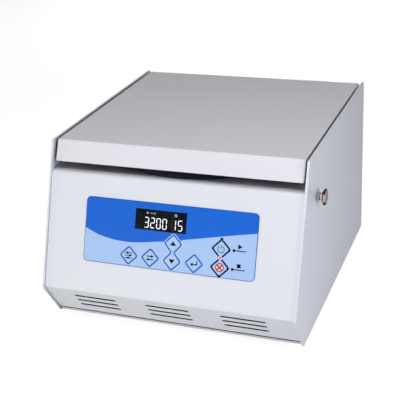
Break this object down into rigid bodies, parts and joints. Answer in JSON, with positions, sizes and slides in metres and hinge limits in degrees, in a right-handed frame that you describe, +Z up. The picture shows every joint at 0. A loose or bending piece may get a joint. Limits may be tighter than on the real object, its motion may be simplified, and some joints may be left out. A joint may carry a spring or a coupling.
{
  "type": "microplate centrifuge",
  "caption": "Benchtop centrifuge for microplates: white folded-steel casing, sloping keypad front, rear-hinged lid, and a round chamber with a swing-out rotor.",
  "frame": {"origin": "on the bench, under the middle of the casing", "axes": "+X to the right seen from the front, +Y to the back, +Z up"},
  "size_m": [0.435, 0.4779, 0.3005],
  "materials": {
    "powder_coat": "white powder coat, fine texture, satin",
    "stainless": "deep-drawn stainless steel, brushed",
    "zinc_steel": "zinc-plated steel",
    "polished_steel": "polished, bright",
    "rubber_black": "moulded black rubber",
    "cast_aluminium": "machined and bead-blasted",
    "motor_iron": "laminated iron",
    "printed_film": "two-tone blue printed film",
    "key_film": "embossed printed film",
    "display_glass": "dark glossy window",
    "lamp_lens": "clear tinted lens",
    "black_plastic": "moulded black plastic",
    "board_green": "printed circuit board"
  },
  "bodies": {
    "casing": {"base_plate": "powder_coat", "front_panel": "powder_coat", "deck_plate": "powder_coat", "left_cheek": "powder_coat", "right_cheek": "powder_coat", "rear_panel": "powder_coat", "casing_screws": "zinc_steel", "chamber_bowl": "stainless", "chamber_gasket": "rubber_black", "guard_ring": "zinc_steel", "motor_dampers": "rubber_black", "motor_plate": "zinc_steel", "motor_housing": "cast_aluminium", "motor_stator": "motor_iron", "motor_end_cap": "cast_aluminium", "spindle_bearings": "polished_steel", "shaft_boot": "rubber_black", "hinge_brackets": "zinc_steel", "hinge_pins": "zinc_steel", "lock_sleeve": "polished_steel", "lid_switch": "black_plastic", "keypad_overlay": "printed_film", "keypad_backplate": "black_plastic", "indicator_lenses": "lamp_lens", "display_window": "display_glass", "display_module": "black_plastic", "control_board": "board_green", "mains_inlet": "black_plastic", "inlet_pins": "zinc_steel", "switch_housing": "black_plastic", "motor_drive": "cast_aluminium", "rubber_feet": "rubber_black", "foot_screws": "zinc_steel"},
    "lid": {"lid_shell": "powder_coat", "lid_liner": "stainless", "lid_striker": "zinc_steel", "lid_bumpers": "rubber_black", "lid_hinge_leaves": "zinc_steel"},
    "rotor": {"drive_spindle": "polished_steel", "rotor_yoke": "cast_aluminium", "rotor_nut": "polished_steel"},
    "carrier_front": {"plate_carrier_front": "cast_aluminium", "carrier_trunnions_front": "polished_steel", "carrier_pad_front": "rubber_black"},
    "carrier_rear": {"plate_carrier_rear": "cast_aluminium", "carrier_trunnions_rear": "polished_steel", "carrier_pad_rear": "rubber_black"},
    "key_set_body": {"key_set": "key_film"},
    "key_mode_body": {"key_mode": "key_film"},
    "key_up_body": {"key_up": "key_film"},
    "key_down_body": {"key_down": "key_film"},
    "key_enter_body": {"key_enter": "key_film"},
    "key_start_body": {"key_start": "key_film"},
    "key_stop_body": {"key_stop": "key_film"},
    "lock_plunger": {"lock_rod": "polished_steel", "lock_knob": "polished_steel"},
    "rocker": {"power_rocker": "black_plastic"}
  },
  "joints": [
    {"name": "lid_hinge", "type": "hinge", "parent": "casing", "child": "lid", "pos_m": [0, 0.21399, 0.278], "axis": [-1, 0, 0], "range_deg": [0, 72]},
    {"name": "rotor_spin", "type": "hinge", "parent": "casing", "child": "rotor", "pos_m": [0, 0.01449, 0.1888], "axis": [0, 0, 1], "continuous": true},
    {"name": "carrier_swing_front", "type": "hinge", "parent": "rotor", "child": "carrier_front", "pos_m": [0, -0.06951, 0.1888], "axis": [-1, 0, 0], "range_deg": [0, 90]},
    {"name": "carrier_swing_rear", "type": "hinge", "parent": "rotor", "child": "carrier_rear", "pos_m": [0, 0.09849, 0.1888], "axis": [1, 0, 0], "range_deg": [0, 90]},
    {"name": "lock_slide", "type": "slide", "parent": "casing", "child": "lock_plunger", "axis": [-1, 0, 0], "range_m": [0, 0.006]},
    {"name": "rocker_tip", "type": "hinge", "parent": "casing", "child": "rocker", "pos_m": [0.084, 0.23449, 0.06], "axis": [-1, 0, 0], "range_deg": [0, 24]},
    {"name": "key_set_press", "type": "slide", "parent": "casing", "child": "key_set_body", "axis": [0, 0.9304, -0.3665], "range_m": [0, 0.0006], "stiffness_N_per_m": 120, "springref_m": -0.002},
    {"name": "key_mode_press", "type": "slide", "parent": "casing", "child": "key_mode_body", "axis": [0, 0.9304, -0.3665], "range_m": [0, 0.0006], "stiffness_N_per_m": 120, "springref_m": -0.002},
    {"name": "key_up_press", "type": "slide", "parent": "casing", "child": "key_up_body", "axis": [0, 0.9304, -0.3665], "range_m": [0, 0.0006], "stiffness_N_per_m": 120, "springref_m": -0.002},
    {"name": "key_down_press", "type": "slide", "parent": "casing", "child": "key_down_body", "axis": [0, 0.9304, -0.3665], "range_m": [0, 0.0006], "stiffness_N_per_m": 120, "springref_m": -0.002},
    {"name": "key_enter_press", "type": "slide", "parent": "casing", "child": "key_enter_body", "axis": [0, 0.9304, -0.3665], "range_m": [0, 0.0006], "stiffness_N_per_m": 120, "springref_m": -0.002},
    {"name": "key_start_press", "type": "slide", "parent": "casing", "child": "key_start_body", "axis": [0, 0.9304, -0.3665], "range_m": [0, 0.0006], "stiffness_N_per_m": 120, "springref_m": -0.002},
    {"name": "key_stop_press", "type": "slide", "parent": "casing", "child": "key_stop_body", "axis": [0, 0.9304, -0.3665], "range_m": [0, 0.0006], "stiffness_N_per_m": 120, "springref_m": -0.002}
  ]
}
